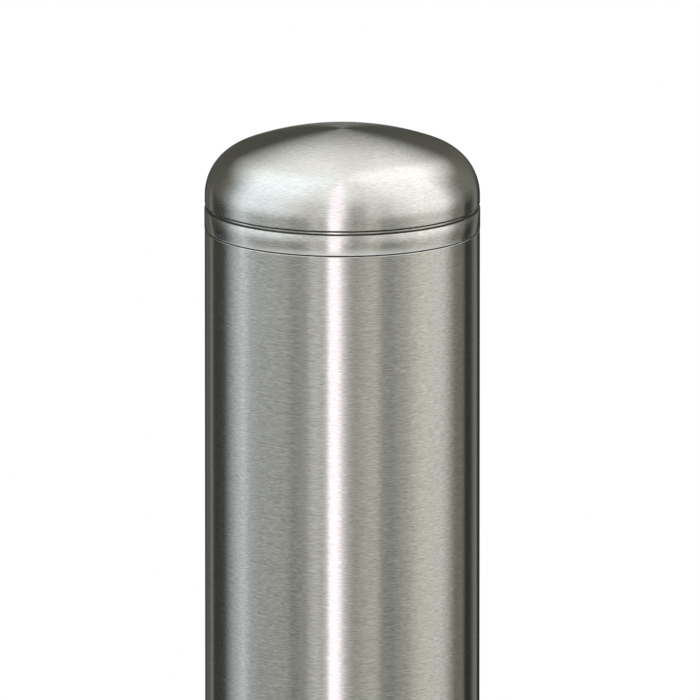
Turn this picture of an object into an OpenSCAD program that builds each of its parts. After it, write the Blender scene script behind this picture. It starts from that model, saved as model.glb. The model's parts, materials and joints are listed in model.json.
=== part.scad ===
// Retractable bollard: a stainless steel post that a gas spring lifts out of a buried steel casing.
// Millimetres, Z up. The origin is the centre of the base plate's underside, and the front is -Y.
// The post is drawn raised and unlocked, with the lock behind it (+Y) and the drain on its right (+X).

/* [Post] */
// Outer diameter of the post tube
post_d = 114.3; // [101.6:0.1:137.2]
// Wall of the post tube
post_wall = 4; // [3:0.1:5]
// Height of the cap's crown above the ground when the post is raised
raised_h = 700; // [500:10:900]
// Height of the cap's crown above the ground when the post is lowered
proud_h = 35; // [33:0.5:38]
// Length of tube that stays below the ground when the post is raised
engaged_l = 190; // [175:1:260]

/* [Cap] */
// Radius of the cap's crown
crown_r = 121; // [110:1:160]
// Radius of the cap's shoulder
shoulder_r = 21.5; // [16:0.5:26]
// Height of the shoulder's centre above the seam
shoulder_h = 14.2; // [12.6:0.1:20]
// Wall of the cap
cap_wall = 5; // [3:0.5:6]
// Height of the groove's middle above the seam
groove_h = 9.9; // [6:0.1:10.5]
// Width of the groove
groove_w = 1.9; // [1:0.1:3]
// Depth of the groove
groove_depth = 1; // [0.5:0.1:1.8]
// Distance by which the collar stands proud of the tube
collar_proud = 0.13; // [0:0.01:0.3]
// Width of the shadow gap at the seam
seam_w = 0.5; // [0.1:0.05:0.6]
// Length of the collar's spigot inside the tube
spigot_l = 12; // [6:0.5:13]

/* [Casing] */
// Outer diameter of the casing tube
casing_d = 168.3; // [159:0.1:202]
// Wall of the casing tube
casing_wall = 4.5; // [3:0.1:5.5]
// Side of the square base plate
base_w = 280; // [260:5:340]
// Thickness of the base plate
base_t = 10; // [8:1:15]
// Spacing of the anchor holes in the base plate
anchor_pitch = 230; // [215:5:236]
// Diameter of the anchor holes
anchor_hole_d = 14; // [10:1:18]
// Side of the square head flange and of the surround cover
surround_w = 300; // [290:5:360]
// Thickness of the surround cover
surround_t = 6; // [5:0.5:8]
// Thickness of the head flange
flange_t = 8; // [7:1:12]
// Corner radius of the plates
corner_r = 18; // [5:1:25]
// Outer diameter of the drain spigot
drain_d = 50; // [40:1:60]
// Wall of the drain spigot
drain_wall = 2.5; // [2:0.5:4]

/* [Guides and stops] */
// Radial clearance of the sliding guides
guide_gap = 0.5; // [0.3:0.05:0.8]
// Height of the lower guide ring
guide_ring_h = 55; // [40:1:60]
// Thickness of the steel foot ring
foot_t = 8; // [7:0.5:10]
// Thickness of the rubber stop under the upper guide
stop_t = 12; // [8:1:14]
// Height of the rubber buffers under the post
buffer_h = 26.7; // [20:0.1:40]
// Width of the anti-rotation rail
rail_w = 12; // [8:1:16]
// Depth of the anti-rotation rail
rail_depth = 8; // [5:0.5:10]

/* [Gas spring] */
// Outer diameter of the gas cylinder
cyl_d = 28; // [24:1:34]
// Wall of the gas cylinder
cyl_wall = 2; // [1.5:0.1:2.5]
// Diameter of the piston rod
rod_d = 14; // [10:1:15]
// Diameter of the clevis pins
pin_d = 10; // [8:0.5:12]
// Width of the eyes on the clevis pins
eye_w = 14; // [10:0.5:16]

/* [Lock] */
// Depth of the lock bolt below the ground
bolt_drop = 70; // [62:1:76]
// Width of the lock bolt
bolt_w = 24; // [20:0.5:29]
// Height of the lock bolt
bolt_h = 14; // [10:0.5:16]
// Tooth module of the lock's rack and pinion
tooth_m = 1.25; // [1.1:0.01:1.5]
// Radius of the key port in the surround cover
port_r = 12; // [11:0.5:13]
// Thickness of the swivelling dust cover
dust_t = 3; // [2:0.5:4]

/* [Hidden] */
$fn = 96;
e = 0.01;              // overshoot of cuts that run out through a face
seat_gap = 0.3;        // gap between a moving piece and the stop it rests against
run_gap = 0.08;        // radial clearance of a turning shaft
slip = 0.2;            // radial clearance of pieces that are pushed together
bolt_gap = 0.3;        // clearance round the lock bolt

post_r = post_d / 2;
post_ri = post_r - post_wall;
casing_r = casing_d / 2;
casing_ri = casing_r - casing_wall;

// Heights, from the bottom of the casing upwards
travel = raised_h - proud_h;
foot_z = base_t + buffer_h + seat_gap + travel;
post_z = foot_z + foot_t;
ground_z = post_z + engaged_l;
flange_top = ground_z - surround_t;
flange_z = flange_top - flange_t;
guide_top = post_z + guide_ring_h;
stop_z = guide_top + seat_gap;
stop_ring_z = stop_z + stop_t;
crown_drop = sqrt(pow(crown_r - shoulder_r, 2) - pow(post_r - shoulder_r, 2));
crown_h = shoulder_h - crown_drop + crown_r;
seam_z = ground_z + raised_h - crown_h;

// Cap, measured from the seam
groove_lo = groove_h - groove_w / 2;
groove_hi = groove_h + groove_w / 2;
shoulder_x = post_r - shoulder_r;
crown_c = shoulder_h - crown_drop;
lip_h = 5;             // height of the collar's lip inside the cap
lip_wall = 4;          // wall of the collar's lip and spigot
edge = 0.3;            // broken edge at the seam and the groove
seam_in = 2.6;         // depth of the shadow gap at the seam
stud_r = 6;            // cap stud, M12
boss_r = 13;           // boss inside the cap that takes the stud
boss_z = 2;            // underside of that boss
stud_h = 28;           // top of the stud
head_drop = 16;        // top of the head plate below the seam
head_t = 10;           // thickness of the head plate
nut_h = 9;             // height of the stud's nut
nut_af = 19;           // width across its flats

// Gas spring
cyl_r = cyl_d / 2;
rod_r = rod_d / 2;
pin_r = pin_d / 2;
eye_r = pin_r + 6;
ear_t = 6;             // thickness of a clevis ear
ear_gap = 0.6;         // side clearance of an eye in its clevis
clevis_t = 6;          // thickness of a clevis foot
clevis_w = 58;         // length of a clevis foot across its ears
clevis_d = 36;         // width of a clevis foot
pin_rise = 20;         // height of the pin above the clevis foot
neck_l = eye_r + 5;    // pin to the shoulder of an end fitting
neck_r = 8;            // neck of an end fitting
base_pin_z = base_t + clevis_t + pin_rise;
top_pin_z = seam_z - head_drop - head_t - clevis_t - pin_rise;
rod_z = base_pin_z + neck_l;
gland_lip = 4;         // part of the gland below the cylinder
gland_l = 25;          // part of the gland inside the cylinder
dead_l = 8;            // rod left showing when the post is down
cyl_z = rod_z + travel + gland_lip + dead_l;
cyl_top = top_pin_z - neck_l;
cyl_end = 10;          // closed end of the cylinder
piston_l = 20;
piston_z = cyl_z + gland_l + 2;
piston_nut_h = 6;
rod_spigot_r = 4;      // reduced end of the rod, through the piston
ear_x = eye_w / 2 + ear_gap;
pin_half = ear_x + ear_t;
clip_t = 1;            // thickness of a pin's retaining clip
clip_off = 1.2;        // distance of the clip from the ear
foot_screw_x = 22;     // clevis foot screws
foot_screw_y = 11;
foot_screw_r = 3;

// Guides
foot_ri = post_ri - 8;
foot_r = casing_ri - 1.2;
guide_screw_r = 3;
guide_screw_l = 30;
guide_screw_at = (post_r + foot_r) / 2;
stop_ring_t = 12;      // thickness of the steel ring above the rubber stop
stop_gap = 1.5;        // radial gap of that ring and of the rubber stop round the post
bush_lip = 3.5;        // overhang of the bush's lip on the casing
bush_lip_t = 5;
bush_lift = 4;         // height of the bush above the lock bolt's window
wiper_h = 8;
wiper_r = post_r + guide_gap + (casing_ri - post_r) * 0.45;
buffer_at = (foot_ri + foot_r) / 2;
buffer_r = (foot_r - foot_ri) / 2 - 2.6;

// Casing head
cover_screw_at = surround_w / 2 - 22;
cover_screw_r = 4;
cover_gap = 1.5;       // radial gap of the surround cover round the post
plate_chamfer = 1;
gusset_w = 55;
gusset_h = 60;
gusset_t = 6;
bar_r = 6;             // anchor bars
bar_reach = 31;
bar_bend = 20;
bar_up = 60;
bar_rows = [0.36, 0.68]; // heights of the two rows of anchor bars, as a share of the casing's depth
drain_r = drain_d / 2;
drain_z = base_t + drain_r + 8;
drain_end = surround_w / 2 - 4;
drain_stop = casing_r + 6; // shoulder of the drain spigot, where the pipe's socket ends
drain_stop_h = 3;      // height of that shoulder
strainer_t = 2;
strainer_hole_r = 2;
strainer_pitch = 7;

// Lock
bolt_z = ground_z - bolt_drop;
tooth_n = 8;
pitch_r = tooth_m * tooth_n / 2;
pitch = PI * tooth_m;
addendum = 1.12 * tooth_m;
tip_r = pitch_r + addendum;
root_r = pitch_r - 0.3 * tooth_m;
backlash = 0.15;
turn = 180;            // turn of the spindle that throws the bolt
throw_l = PI * pitch_r * turn / 180;
spindle_y = casing_r + 14;
bolt_tip = post_r + 3.35;
nose_back = casing_r - 3;
shank_back = spindle_y + throw_l + 6;
rack_x = -(pitch_r + 0.1);
rack_root = rack_x - addendum - 0.3;
lock_half = 26;
lock_back = shank_back + 10;
lock_floor = bolt_z - bolt_h / 2 - slip;
lock_base_t = 6;
chamber_top = bolt_z + bolt_h / 2 + bolt_gap;
bush_z = chamber_top + bush_lift;
journal_r = 6;
journal_l = 14;
tail_r = 4;            // lower journal of the spindle
seal_t = 3;
seal_r = 9;
head_z = chamber_top + journal_l + seal_t;
head_h = 16;           // triangular key head
head_r = 8;
lock_screw_x = 20;
lock_screw_r = 3;
lock_screw_ys = [spindle_y - 6, lock_back - 8];
lock_screw_l = 14;
slot_w = bolt_w + 2;   // lock slots in the post
slot_h = bolt_h + 3;

// Dust cover
lid_r = port_r + 3.5;
pivot_off = 30;
pivot_pad_r = 8;
pivot_r = 4;
pivot_head_r = 7.5;
pivot_head_t = 2.5;
lid_gap = 0.2;

steel = [0.76, 0.76, 0.73];
zinc = [0.62, 0.65, 0.67];
plated = [0.78, 0.74, 0.62];
rubber = [0.12, 0.12, 0.13];
polymer = [0.2, 0.21, 0.22];
paint = [0.1, 0.11, 0.12];
chrome = [0.85, 0.86, 0.88];

// ---------- shared shapes ----------

// A ring or disc from height z0 to z1
module ring(ro, ri, z0, z1) {
    translate([0, 0, z0]) difference() {
        cylinder(r = ro, h = z1 - z0);
        if (ri > 0) translate([0, 0, -e]) cylinder(r = ri, h = z1 - z0 + 2 * e);
    }
}

// A cylinder along X from x0 to x1
module bar_x(r, x0, x1) {
    translate([x0, 0, 0]) rotate([0, 90, 0]) cylinder(r = r, h = x1 - x0);
}

// The outline of a square plate with round corners
module plate_outline(w, r) {
    square([w, w - 2 * r], center = true);
    square([w - 2 * r, w], center = true);
    for (x = [-1, 1], y = [-1, 1]) translate([x * (w / 2 - r), y * (w / 2 - r)]) circle(r = r);
}

// Copies at the four corners of a square of half-side a
module at_corners(a) {
    for (x = [-1, 1], y = [-1, 1]) translate([x * a, y * a, 0]) children();
}

// Copies turned round the Z axis
module around(n, first = 0) {
    for (i = [0 : n - 1]) rotate(first + i * 360 / n) children();
}

// A countersunk screw, or its hole when g is its clearance; the head's top is at z = 0, pointing down
module countersunk(r, l, g = 0) {
    translate([0, 0, -l - g]) cylinder(r = r + g, h = l + g + (g > 0 ? e : 0));
    translate([0, 0, -r - g]) cylinder(r1 = r + g, r2 = 2 * r + g, h = r);
    if (g > 0) translate([0, 0, -g]) cylinder(r = 2 * r + g, h = g + e);
}

// The hexagon socket in a countersunk screw's head
module socket(r) {
    translate([0, 0, -r * 0.8]) cylinder(r = r * 0.75, h = r, $fn = 6);
}

// A hexagon head or nut
module hexagon(af, h) {
    cylinder(r = af / sqrt(3), h = h, $fn = 6);
}

// The dome's outline, seen from the side and shrunk by t, from height z0 up
module dome_outline(t, z0) {
    reach = 2 * crown_r;
    tangent = reach / (crown_r - shoulder_r);
    intersection() {
        translate([0, z0]) square([post_r + 1, reach]);
        union() {
            intersection() {
                translate([0, crown_c]) circle(r = crown_r - t);
                polygon([
                    [0, crown_c],
                    [tangent * shoulder_x, crown_c + tangent * crown_drop],
                    [0, crown_c + reach]
                ]);
            }
            translate([shoulder_x, shoulder_h]) circle(r = shoulder_r - t);
            translate([0, z0]) square([shoulder_x, shoulder_h - z0]);
            translate([0, z0]) square([post_r - t, shoulder_h - z0]);
        }
    }
}

// ---------- cap and post ----------

module dome_cap() {
    color(steel) translate([0, 0, seam_z]) difference() {
        union() {
            rotate_extrude() difference() {
                dome_outline(0, groove_hi);
                dome_outline(cap_wall, groove_hi - e);
                translate([post_r, groove_hi]) rotate(45) square(edge * sqrt(2), center = true);
            }
            intersection() {
                ring(boss_r, 0, boss_z, crown_h);
                rotate_extrude() dome_outline(cap_wall / 2, boss_z);
            }
        }
        ring(stud_r + slip / 2, 0, boss_z - e, stud_h + 2);
    }
}

module collar_ring() {
    spigot_r = post_ri - slip;
    collar_r = post_r + collar_proud;
    lip_r = post_r - cap_wall - slip;
    bore_r = spigot_r - lip_wall - 1;
    color(steel) translate([0, 0, seam_z]) rotate_extrude() polygon([
        [bore_r, -spigot_l], [spigot_r - 1, -spigot_l], [spigot_r, -spigot_l + 1], [spigot_r, 0],
        [post_r - seam_in, 0], [post_r - seam_in, seam_w], [collar_r - edge, seam_w],
        [collar_r, seam_w + edge], [collar_r, groove_lo - edge], [collar_r - edge, groove_lo],
        [post_r - groove_depth, groove_lo], [post_r - groove_depth, groove_hi],
        [lip_r, groove_hi], [lip_r, groove_hi + lip_h], [bore_r, groove_hi + lip_h]
    ]);
}

// The window that the lock bolt enters, centred on height z
module lock_slot(z) {
    translate([-slot_w / 2, 0, z - slot_h / 2]) cube([slot_w, post_r + 5, slot_h]);
}

module post_tube() {
    color(steel) difference() {
        rotate_extrude() polygon([
            [post_ri, post_z], [post_r, post_z], [post_r, seam_z - edge],
            [post_r - edge, seam_z], [post_ri, seam_z]
        ]);
        lock_slot(bolt_z);
        lock_slot(bolt_z + travel);
    }
}

module head_plate() {
    top = seam_z - head_drop;
    color(zinc) difference() {
        ring(post_ri - slip, stud_r + slip / 2, top - head_t, top);
        foot_holes(top - head_t - e, head_t - 2);
    }
}

module cap_stud() {
    color(plated) ring(stud_r, 0, seam_z - head_drop - head_t, seam_z + stud_h);
}

module cap_stud_nut() {
    color(plated) difference() {
        translate([0, 0, seam_z - head_drop]) hexagon(nut_af, nut_h);
        ring(stud_r + slip / 2, 0, seam_z - head_drop - e, seam_z - head_drop + nut_h + e);
    }
}

module foot_ring() {
    color(zinc) difference() {
        ring(foot_r, foot_ri, foot_z, post_z);
        rail_slot(foot_z - 1, foot_t + 2);
        guide_screws(slip);
    }
}

module rail_slot(z, h) {
    g = guide_gap + 0.1;
    translate([-rail_w / 2 - g, -casing_r, z]) cube([rail_w + 2 * g, casing_wall + rail_depth + g, h]);
}

module guide_screws(g = 0) {
    translate([0, 0, foot_z]) around(4, 22.5) translate([guide_screw_at, 0, 0])
        rotate([180, 0, 0]) difference() {
            countersunk(guide_screw_r, guide_screw_l, g);
            if (g == 0) socket(guide_screw_r);
        }
}

module guide_ring_screws() {
    color(plated) guide_screws();
}

module lower_guide_ring() {
    color(polymer) difference() {
        ring(casing_ri - guide_gap, post_r + slip, post_z, guide_top);
        rail_slot(post_z - 1, guide_ring_h + 2);
        around(4, 22.5) translate([guide_screw_at, 0, 0])
            ring(guide_screw_r + slip / 2, 0, post_z - e, foot_z + guide_screw_l + 1);
    }
}

// ---------- gas spring ----------

module foot_holes(z, h) {
    for (x = [-1, 1], y = [-1, 1]) translate([x * foot_screw_x, y * foot_screw_y, z])
        cylinder(r = foot_screw_r + slip / 2, h = h);
}

// A clevis standing on z = 0, with its pin's axis along X
module clevis() {
    difference() {
        union() {
            translate([-clevis_w / 2, -clevis_d / 2, 0]) cube([clevis_w, clevis_d, clevis_t]);
            for (x = [ear_x, -ear_x - ear_t]) {
                translate([x, -eye_r, clevis_t - e]) cube([ear_t, 2 * eye_r, pin_rise + e]);
                translate([0, 0, clevis_t + pin_rise]) bar_x(eye_r, x, x + ear_t);
            }
        }
        translate([0, 0, clevis_t + pin_rise]) bar_x(pin_r + run_gap, -clevis_w, clevis_w);
        foot_holes(-e, clevis_t + 2 * e);
    }
}

// The four screws of a clevis foot, with the foot's underside on z = 0
module foot_screws() {
    for (x = [-1, 1], y = [-1, 1]) translate([x * foot_screw_x, y * foot_screw_y, 0]) {
        translate([0, 0, 1 - head_t + clevis_t - 4]) cylinder(r = foot_screw_r, h = head_t + 3);
        translate([0, 0, clevis_t]) hexagon(10, 4);
    }
}

// A headed clevis pin along X, with a groove for its clip
module clevis_pin() {
    clip_x = pin_half + clip_off;
    difference() {
        union() {
            bar_x(pin_r, -pin_half - 1, clip_x + clip_t + 2);
            bar_x(pin_r + 2.5, -pin_half - 3.5, -pin_half - 0.2);
        }
        difference() {
            bar_x(pin_r + 1, clip_x - slip / 2, clip_x + clip_t + slip / 2);
            bar_x(pin_r - 1, clip_x - 1, clip_x + clip_t + 1);
        }
    }
}

// The open retaining ring in that groove
module pin_clip() {
    clip_x = pin_half + clip_off;
    difference() {
        bar_x(pin_r + 3, clip_x, clip_x + clip_t);
        bar_x(pin_r - 0.9, clip_x - 1, clip_x + clip_t + 1);
        translate([clip_x - 1, -pin_r * 0.6, 0]) cube([clip_t + 2, pin_r * 1.2, pin_r * 3]);
    }
}

// A gas spring's end fitting: the eye on the origin, its neck going up
module eye_fitting(socket_r, socket_l) {
    difference() {
        union() {
            bar_x(eye_r, -eye_w / 2, eye_w / 2);
            cylinder(r = neck_r + 2, h = neck_l);
        }
        bar_x(pin_r + run_gap, -eye_w, eye_w);
        if (socket_r > 0) translate([0, 0, neck_l - socket_l]) cylinder(r = socket_r, h = socket_l + e);
        for (s = [-1, 1])
            translate([s * (eye_w / 2 + 5), 0, eye_r - 1]) cube([10, 30, 2 * eye_r], center = true);
    }
}

module top_clevis() {
    color(zinc) translate([0, 0, seam_z - head_drop - head_t]) mirror([0, 0, 1]) clevis();
}

module top_clevis_screws() {
    color(plated) translate([0, 0, seam_z - head_drop - head_t]) mirror([0, 0, 1]) foot_screws();
}

module top_clevis_pin() {
    color(plated) translate([0, 0, top_pin_z]) clevis_pin();
}

module top_pin_clip() {
    color(plated) translate([0, 0, top_pin_z]) pin_clip();
}

module top_eye_fitting() {
    color(plated) translate([0, 0, top_pin_z]) mirror([0, 0, 1]) eye_fitting(0, 0);
}

module gas_cylinder() {
    color(paint) difference() {
        ring(cyl_r, 0, cyl_z, cyl_top);
        ring(cyl_r - cyl_wall, 0, cyl_z - e, cyl_top - cyl_end);
    }
}

module rod_gland() {
    color(plated) difference() {
        union() {
            ring(cyl_r, 0, cyl_z - gland_lip, cyl_z);
            ring(cyl_r - cyl_wall - 0.1, 0, cyl_z - 1, cyl_z + gland_l);
        }
        ring(rod_r + run_gap, 0, cyl_z - gland_lip - 1, cyl_z + gland_l + 1);
    }
}

module base_clevis() {
    color(zinc) translate([0, 0, base_t]) clevis();
}

module base_clevis_screws() {
    color(plated) translate([0, 0, base_t]) foot_screws();
}

module base_clevis_pin() {
    color(plated) translate([0, 0, base_pin_z]) clevis_pin();
}

module base_pin_clip() {
    color(plated) translate([0, 0, base_pin_z]) pin_clip();
}

module rod_eye_fitting() {
    color(plated) translate([0, 0, base_pin_z]) eye_fitting(rod_spigot_r + slip / 2, neck_l - pin_r - 3);
}

module piston_rod() {
    color(chrome) {
        ring(rod_r, 0, rod_z, piston_z);
        ring(rod_spigot_r, 0, base_pin_z + pin_r + 3.5, rod_z + e);
        ring(rod_spigot_r, 0, piston_z - e, piston_z + piston_l + piston_nut_h + 2);
    }
}

module piston() {
    color(plated) difference() {
        ring(cyl_r - cyl_wall - seat_gap, rod_spigot_r + slip / 2, piston_z, piston_z + piston_l);
        for (z = [5, 13]) ring(cyl_r, cyl_r - cyl_wall - 2, piston_z + z, piston_z + z + 2.5);
    }
}

module piston_nut() {
    color(plated) difference() {
        translate([0, 0, piston_z + piston_l]) hexagon(13, piston_nut_h);
        ring(rod_spigot_r + slip / 2, 0, piston_z + piston_l - 1, piston_z + piston_l + piston_nut_h + 1);
    }
}

// ---------- casing ----------

module base_plate() {
    color(zinc) difference() {
        linear_extrude(base_t) plate_outline(base_w, corner_r);
        at_corners(anchor_pitch / 2) translate([0, 0, -e]) cylinder(d = anchor_hole_d, h = base_t + 2 * e);
        foot_holes(2, base_t);
    }
}

// The window that the lock bolt slides through
module bolt_window(y0, y1) {
    translate([-bolt_w / 2 - bolt_gap, y0, bolt_z - bolt_h / 2 - bolt_gap])
        cube([bolt_w + 2 * bolt_gap, y1 - y0, bolt_h + 2 * bolt_gap]);
}

module casing_tube() {
    color(zinc) difference() {
        ring(casing_r, casing_ri, base_t, flange_z);
        bolt_window(post_r, casing_r + 5);
        translate([0, 0, drain_z]) bar_x(drain_r + slip, 0, casing_r + 5);
    }
}

module flange_gussets() {
    color(zinc) around(4, 45) translate([casing_r + 0.05, gusset_t / 2, flange_z]) rotate([90, 0, 0])
        linear_extrude(gusset_t) polygon([
            [0, 0], [gusset_w, 0], [gusset_w, -8], [8, -gusset_h], [0, -gusset_h]
        ]);
}

module head_flange() {
    color(zinc) difference() {
        translate([0, 0, flange_z]) linear_extrude(flange_t) plate_outline(surround_w, corner_r);
        ring(casing_ri, 0, flange_z - e, flange_top + e);
        ring(casing_ri + bush_lip + slip, 0, flange_top - bush_lip_t, flange_top + e);
        translate([0, spindle_y, 0]) ring(port_r + 0.5, 0, flange_z - e, flange_top + e);
        translate([pivot_off, spindle_y, 0]) ring(pivot_r + slip / 2, 0, flange_z - e, flange_top + e);
        at_corners(cover_screw_at) ring(cover_screw_r + slip / 2, 0, flange_z - e, flange_top + e);
        lock_screw_set(slip);
    }
}

module anchor_bars() {
    color(zinc) for (s = bar_rows) translate([0, 0, s * ground_z]) around(4, 45) {
        bar_x(bar_r, casing_r + 0.05, casing_r + bar_reach);
        translate([casing_r + bar_reach, 0, bar_bend]) rotate([90, 0, 0]) rotate(-90)
            rotate_extrude(angle = 90) translate([bar_bend, 0]) circle(r = bar_r);
        translate([casing_r + bar_reach + bar_bend, 0, bar_bend]) cylinder(r = bar_r, h = bar_up);
    }
}

module drain_spigot() {
    color(zinc) translate([0, 0, drain_z]) difference() {
        union() {
            bar_x(drain_r, casing_ri, drain_end);
            bar_x(drain_r + drain_stop_h, casing_r + 0.1, drain_stop);
        }
        bar_x(drain_r - drain_wall, casing_ri - 1, drain_end + 1);
    }
}

module drain_strainer() {
    x = casing_r + 6;
    steps = [-2 : 2];
    color(steel) translate([0, 0, drain_z]) difference() {
        bar_x(drain_r - drain_wall - slip, x, x + strainer_t);
        for (i = steps, j = steps)
            if (abs(i + j) < 3)
                translate([x - 1, strainer_pitch * (i + j / 2), strainer_pitch * j * sqrt(3) / 2])
                    bar_x(strainer_hole_r, 0, strainer_t + 2);
    }
}

module anti_rotation_rail() {
    color(zinc) translate([-rail_w / 2, -casing_ri + seat_gap, base_t])
        cube([rail_w, rail_depth - seat_gap, guide_top - 5 - base_t]);
}

module bottom_buffers() {
    color(rubber) around(4, 45) translate([buffer_at, 0, base_t]) rotate_extrude() polygon([
        [0, 0], [buffer_r, 0], [buffer_r, buffer_h - 3], [buffer_r - 3, buffer_h], [0, buffer_h]
    ]);
}

module upper_guide_bush() {
    color(polymer) difference() {
        union() {
            ring(casing_ri - seat_gap, post_r + guide_gap, bush_z, flange_top);
            ring(casing_ri + bush_lip, post_r + guide_gap, flange_top - bush_lip_t, flange_top);
        }
        ring(wiper_r + slip, 0, flange_top - wiper_h, flange_top + e);
    }
}

module stop_ring() {
    color(zinc) ring(casing_ri - 0.05, post_r + stop_gap, stop_ring_z, stop_ring_z + stop_ring_t);
}

module stop_buffer() {
    color(rubber) ring(casing_ri - guide_gap, post_r + stop_gap, stop_z, stop_ring_z);
}

module wiper_seal() {
    in = post_r + guide_gap - 0.1;
    color(rubber) rotate_extrude() polygon([
        [in + 2.5, flange_top - wiper_h], [wiper_r, flange_top - wiper_h], [wiper_r, flange_top],
        [in, flange_top], [in + 2.5, flange_top - 3], [in, flange_top - 4.5], [in + 2.5, flange_top - 6.5]
    ]);
}

module surround_cover() {
    port_z = flange_top - e;
    color(steel) difference() {
        union() {
            translate([0, 0, flange_top]) linear_extrude(surround_t - plate_chamfer)
                plate_outline(surround_w, corner_r);
            translate([0, 0, ground_z - plate_chamfer]) linear_extrude(plate_chamfer)
                plate_outline(surround_w - 2 * plate_chamfer, corner_r - plate_chamfer);
        }
        ring(post_r + cover_gap, 0, port_z, ground_z + e);
        translate([0, spindle_y, 0]) ring(port_r, 0, port_z, ground_z + e);
        translate([pivot_off, spindle_y, 0]) ring(pivot_r + slip / 2, 0, port_z, ground_z + e);
        at_corners(cover_screw_at) translate([0, 0, ground_z])
            countersunk(cover_screw_r, surround_t + 2, slip);
    }
}

module cover_screws() {
    color(steel) at_corners(cover_screw_at) translate([0, 0, ground_z]) difference() {
        countersunk(cover_screw_r, surround_t + flange_t + 4);
        socket(cover_screw_r);
    }
}

// ---------- lock ----------

// The outline of the lock body, hollowed round the casing
module lock_outline() {
    difference() {
        translate([-lock_half, casing_r - 8]) square([2 * lock_half, lock_back - casing_r + 8]);
        circle(r = casing_r + 0.1);
    }
}

// The screws that hold the lock body under the head flange, or their holes when g is the clearance
module lock_screw_set(g = 0) {
    for (x = [-1, 1], y = lock_screw_ys) translate([x * lock_screw_x, y, flange_top]) difference() {
        countersunk(lock_screw_r, flange_t + lock_screw_l, g);
        if (g == 0) socket(lock_screw_r);
    }
}

// The screws that hold the lock's base, or their holes when g is the clearance
module lock_base_screw_set(g = 0) {
    for (x = [-1, 1], y = lock_screw_ys) translate([x * lock_screw_x, y, lock_floor - lock_base_t])
        rotate([180, 0, 0]) difference() {
            countersunk(lock_screw_r, lock_base_t + 10, g);
            if (g == 0) socket(lock_screw_r);
        }
}

module lock_body() {
    shank_x = -bolt_w / 2 - bolt_gap;
    color(zinc) difference() {
        translate([0, 0, lock_floor]) linear_extrude(flange_z - lock_floor) lock_outline();
        translate([shank_x, casing_r - 10, lock_floor - e])
            cube([rack_x + bolt_gap - shank_x, shank_back - casing_r + 12, chamber_top - lock_floor + e]);
        translate([0, spindle_y, 0]) {
            ring(tip_r + 0.6, 0, lock_floor - e, chamber_top);
            ring(journal_r + run_gap, 0, lock_floor, head_z);
            ring(seal_r, 0, head_z - seal_t, head_z);
            ring(port_r + 0.5, 0, head_z - e, flange_z + e);
        }
        lock_screw_set(slip / 2);
        lock_base_screw_set(slip / 2);
    }
}

module lock_base() {
    color(zinc) difference() {
        translate([0, 0, lock_floor - lock_base_t]) linear_extrude(lock_base_t) lock_outline();
        translate([0, spindle_y, 0]) ring(tail_r + run_gap, 0, lock_floor - lock_base_t - e, lock_floor + e);
        lock_base_screw_set(slip);
    }
}

module lock_base_screws() {
    color(plated) lock_base_screw_set();
}

module lock_screws() {
    color(plated) lock_screw_set();
}

module spindle_seal() {
    color(rubber) translate([0, spindle_y, 0])
        ring(seal_r - slip / 2, journal_r + seat_gap, head_z - seal_t, head_z);
}

// One flank of a pinion tooth, from the pitch circle out: an involute of the pitch circle, which meets
// the upright walls of the rack's teeth
unroll_max = sqrt(pow(tip_r / pitch_r, 2) - 1) * 180 / PI;
flank = [for (i = [0 : 4]) let (a = unroll_max * i / 4, s = a * PI / 180)
    [pitch_r * sqrt(1 + s * s), a - atan(s)]];
half_tooth = 90 / tooth_n - (backlash / pitch_r) * 90 / PI;

function polar(r, a) = [r * cos(a), r * sin(a)];

module pinion_tooth() {
    right = [for (p = flank) polar(p[0], p[1] - half_tooth)];
    left = [for (i = [len(flank) - 1 : -1 : 0]) polar(flank[i][0], half_tooth - flank[i][1])];
    polygon(concat([polar(root_r - 0.5, -half_tooth)], right, left, [polar(root_r - 0.5, half_tooth)]));
}

module lock_spindle() {
    color(plated) translate([0, spindle_y, 0]) {
        ring(tail_r, 0, lock_floor - lock_base_t + 1, bolt_z - bolt_h / 2 + e);
        translate([0, 0, bolt_z - bolt_h / 2]) linear_extrude(bolt_h) {
            circle(r = root_r);
            around(tooth_n, 180) pinion_tooth();
        }
        ring(root_r, 0, bolt_z + bolt_h / 2 - e, chamber_top);
        ring(journal_r, 0, chamber_top - bolt_gap / 2, head_z + 1);
        translate([0, 0, head_z + 1 - e]) cylinder(r = head_r, h = head_h, $fn = 3);
    }
}

module rack_bolt() {
    gap_w = pitch / 2 + backlash;
    nose_half = bolt_w / 2;
    color(steel) translate([0, 0, bolt_z - bolt_h / 2]) linear_extrude(bolt_h) difference() {
        union() {
            polygon([
                [-nose_half, nose_back], [-nose_half, bolt_tip + 1.5], [-nose_half + 1.5, bolt_tip],
                [nose_half - 1.5, bolt_tip], [nose_half, bolt_tip + 1.5], [nose_half, nose_back]
            ]);
            translate([-nose_half, nose_back - 1]) square([nose_half + rack_x, shank_back - nose_back + 1]);
        }
        for (k = [-1 : 5]) translate([rack_root, spindle_y + k * pitch - gap_w / 2]) square([5, gap_w]);
    }
}

// ---------- dust cover ----------

// A round lid with an arm that ends in a round pivot pad
module lid_outline() {
    circle(r = lid_r);
    translate([0, -pivot_pad_r]) square([pivot_off, 2 * pivot_pad_r]);
    translate([pivot_off, 0]) circle(r = pivot_pad_r);
}

module dust_cover() {
    color(steel) difference() {
        translate([0, spindle_y, ground_z + lid_gap]) linear_extrude(dust_t) lid_outline();
        translate([pivot_off, spindle_y, 0])
            ring(pivot_r + run_gap, 0, ground_z, ground_z + lid_gap + dust_t + 1);
    }
}

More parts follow.
